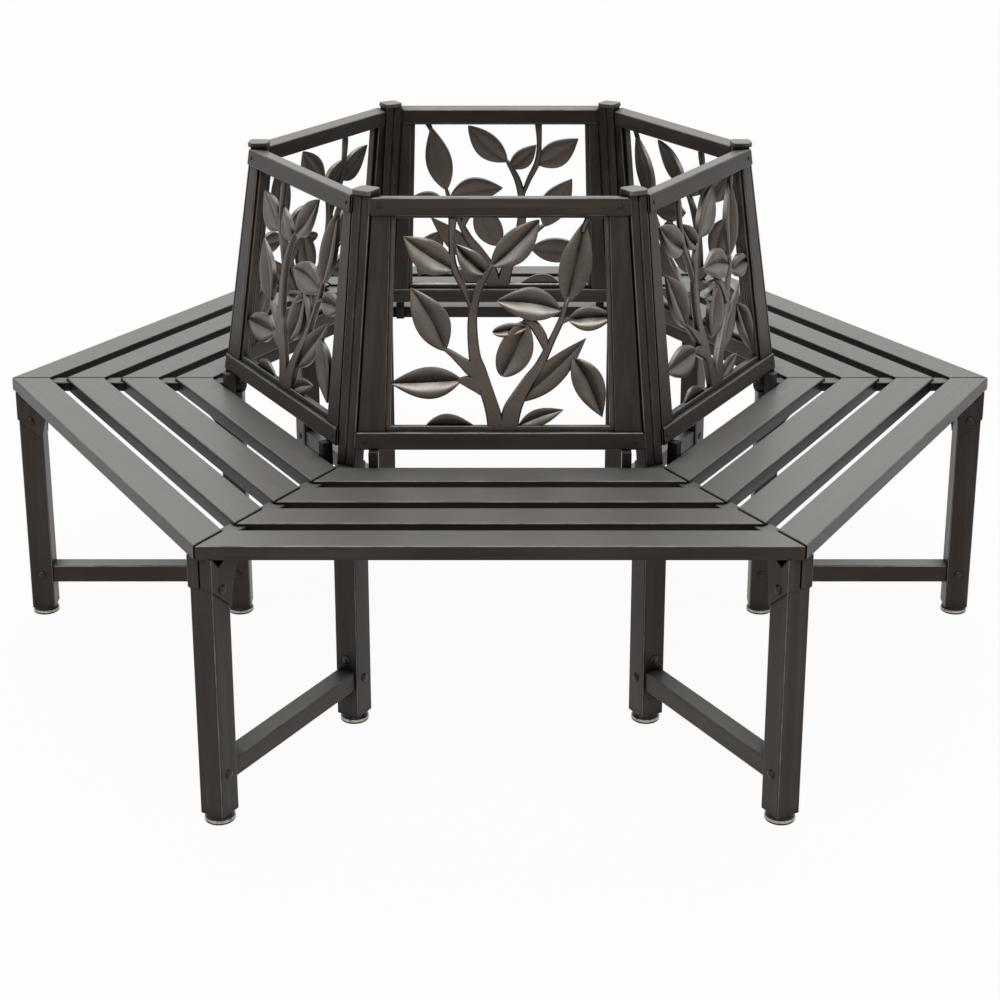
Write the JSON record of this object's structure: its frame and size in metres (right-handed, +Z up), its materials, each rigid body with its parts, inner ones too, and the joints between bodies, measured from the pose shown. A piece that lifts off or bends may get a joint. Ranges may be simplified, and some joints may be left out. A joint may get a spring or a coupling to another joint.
{
  "type": "tree bench",
  "caption": "Hexagonal slatted metal bench that stands round a tree trunk, with outward seats, leaning leaf-pattern backs, braced leg pairs and levelling feet.",
  "frame": {"origin": "on the ground, under the middle of the tree opening", "axes": "+Z up; +X through one corner of the hexagonal seat, so that flat seat sections face -Y and +Y"},
  "size_m": [1.5982, 1.3896, 0.8101],
  "materials": {
    "bronze_powder_coat": "satin dark bronze powder coat",
    "leaf_casting": "satin bronze-painted casting",
    "cast_cap": "satin bronze-painted casting",
    "dark_fastener": "dark coated steel",
    "foot_enamel": "gloss black enamel"
  },
  "bodies": {
    "bench": {"back_blocks": "bronze_powder_coat", "back_frame_1": "bronze_powder_coat", "back_frame_2": "bronze_powder_coat", "back_frame_3": "bronze_powder_coat", "back_frame_4": "bronze_powder_coat", "back_frame_5": "bronze_powder_coat", "back_frame_6": "bronze_powder_coat", "bolts": "dark_fastener", "corner_post_1": "bronze_powder_coat", "corner_post_2": "bronze_powder_coat", "corner_post_3": "bronze_powder_coat", "corner_post_4": "bronze_powder_coat", "corner_post_5": "bronze_powder_coat", "corner_post_6": "bronze_powder_coat", "inner_leg_1": "bronze_powder_coat", "inner_leg_2": "bronze_powder_coat", "inner_leg_3": "bronze_powder_coat", "inner_leg_4": "bronze_powder_coat", "inner_leg_5": "bronze_powder_coat", "inner_leg_6": "bronze_powder_coat", "leaf_insert_1": "leaf_casting", "leaf_insert_2": "leaf_casting", "leaf_insert_3": "leaf_casting", "leaf_insert_4": "leaf_casting", "leaf_insert_5": "leaf_casting", "leaf_insert_6": "leaf_casting", "leg_brackets": "bronze_powder_coat", "leg_cleats": "bronze_powder_coat", "outer_leg_1": "bronze_powder_coat", "outer_leg_2": "bronze_powder_coat", "outer_leg_3": "bronze_powder_coat", "outer_leg_4": "bronze_powder_coat", "outer_leg_5": "bronze_powder_coat", "outer_leg_6": "bronze_powder_coat", "post_caps": "cast_cap", "seat_bars": "bronze_powder_coat", "seat_section_1": "bronze_powder_coat", "seat_section_2": "bronze_powder_coat", "seat_section_3": "bronze_powder_coat", "seat_section_4": "bronze_powder_coat", "seat_section_5": "bronze_powder_coat", "seat_section_6": "bronze_powder_coat", "stretcher_1": "bronze_powder_coat", "stretcher_2": "bronze_powder_coat", "stretcher_3": "bronze_powder_coat", "stretcher_4": "bronze_powder_coat", "stretcher_5": "bronze_powder_coat", "stretcher_6": "bronze_powder_coat"},
    "inner_foot_1": {"inner_foot_1": "foot_enamel"},
    "inner_foot_2": {"inner_foot_2": "foot_enamel"},
    "inner_foot_3": {"inner_foot_3": "foot_enamel"},
    "inner_foot_4": {"inner_foot_4": "foot_enamel"},
    "inner_foot_5": {"inner_foot_5": "foot_enamel"},
    "inner_foot_6": {"inner_foot_6": "foot_enamel"},
    "outer_foot_1": {"outer_foot_1": "foot_enamel"},
    "outer_foot_2": {"outer_foot_2": "foot_enamel"},
    "outer_foot_3": {"outer_foot_3": "foot_enamel"},
    "outer_foot_4": {"outer_foot_4": "foot_enamel"},
    "outer_foot_5": {"outer_foot_5": "foot_enamel"},
    "outer_foot_6": {"outer_foot_6": "foot_enamel"}
  },
  "joints": [
    {"name": "inner_foot_1_level", "type": "slide", "parent": "bench", "child": "inner_foot_1", "axis": [0, 0, -1], "range_m": [0, 0.01]},
    {"name": "inner_foot_2_level", "type": "slide", "parent": "bench", "child": "inner_foot_2", "axis": [0, 0, -1], "range_m": [0, 0.01]},
    {"name": "inner_foot_3_level", "type": "slide", "parent": "bench", "child": "inner_foot_3", "axis": [0, 0, -1], "range_m": [0, 0.01]},
    {"name": "inner_foot_4_level", "type": "slide", "parent": "bench", "child": "inner_foot_4", "axis": [0, 0, -1], "range_m": [0, 0.01]},
    {"name": "inner_foot_5_level", "type": "slide", "parent": "bench", "child": "inner_foot_5", "axis": [0, 0, -1], "range_m": [0, 0.01]},
    {"name": "inner_foot_6_level", "type": "slide", "parent": "bench", "child": "inner_foot_6", "axis": [0, 0, -1], "range_m": [0, 0.01]},
    {"name": "outer_foot_1_level", "type": "slide", "parent": "bench", "child": "outer_foot_1", "axis": [0, 0, -1], "range_m": [0, 0.01]},
    {"name": "outer_foot_2_level", "type": "slide", "parent": "bench", "child": "outer_foot_2", "axis": [0, 0, -1], "range_m": [0, 0.01]},
    {"name": "outer_foot_3_level", "type": "slide", "parent": "bench", "child": "outer_foot_3", "axis": [0, 0, -1], "range_m": [0, 0.01]},
    {"name": "outer_foot_4_level", "type": "slide", "parent": "bench", "child": "outer_foot_4", "axis": [0, 0, -1], "range_m": [0, 0.01]},
    {"name": "outer_foot_5_level", "type": "slide", "parent": "bench", "child": "outer_foot_5", "axis": [0, 0, -1], "range_m": [0, 0.01]},
    {"name": "outer_foot_6_level", "type": "slide", "parent": "bench", "child": "outer_foot_6", "axis": [0, 0, -1], "range_m": [0, 0.01]}
  ]
}
